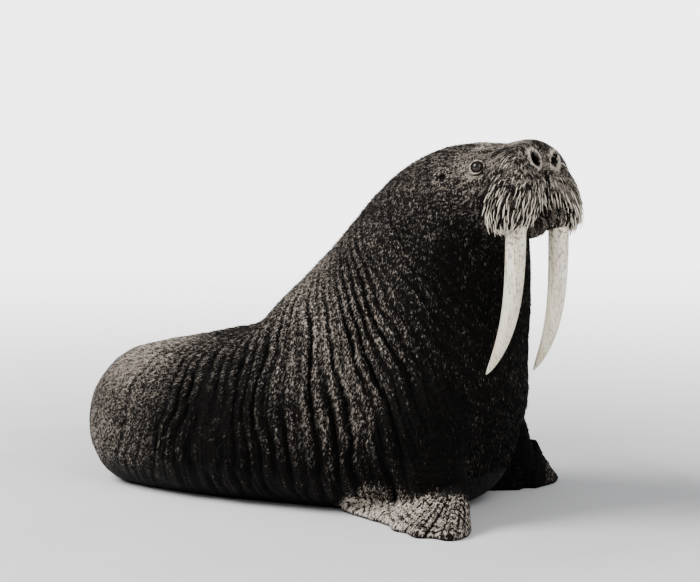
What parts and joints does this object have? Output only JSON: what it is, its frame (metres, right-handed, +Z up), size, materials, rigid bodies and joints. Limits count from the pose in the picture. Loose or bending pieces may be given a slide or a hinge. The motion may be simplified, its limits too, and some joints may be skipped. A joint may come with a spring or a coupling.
{
  "type": "walrus",
  "caption": "Bull walrus at rest, propped up on its foreflippers with its head turned a little, long tusks hanging and a bristly muzzle",
  "frame": {"origin": "on the floor, under the middle of the whole animal's bounding box", "axes": "+X is forward along the trunk, +Y is to the animal's left, +Z is up"},
  "size_m": [2.5994, 1.4024, 1.358],
  "materials": {
    "skin": "dark umber hide with very short hair, matt, deeply wrinkled",
    "muzzle": "paler hide, matt, set with stiff straw-coloured bristles",
    "flipper": "bare, finely wrinkled skin, matt",
    "ivory": "worn ivory with fine lengthwise cracks, satin",
    "eye": "wet, almost black brown, glossy"
  },
  "bodies": {
    "root": {"hindquarters": "skin", "abdomen": "skin", "chest": "skin", "neck": "skin", "head": "skin", "lower_jaw": "muzzle", "muzzle_pad_right": "muzzle", "muzzle_pad_left": "muzzle", "tusk_right": "ivory", "tusk_left": "ivory", "eye_right": "eye", "eye_left": "eye", "forearm_right": "skin", "forearm_left": "skin", "foreflipper_right": "flipper", "foreflipper_left": "flipper", "hind_flipper_right": "flipper", "hind_flipper_left": "flipper", "tail": "skin"}
  },
  "joints": []
}
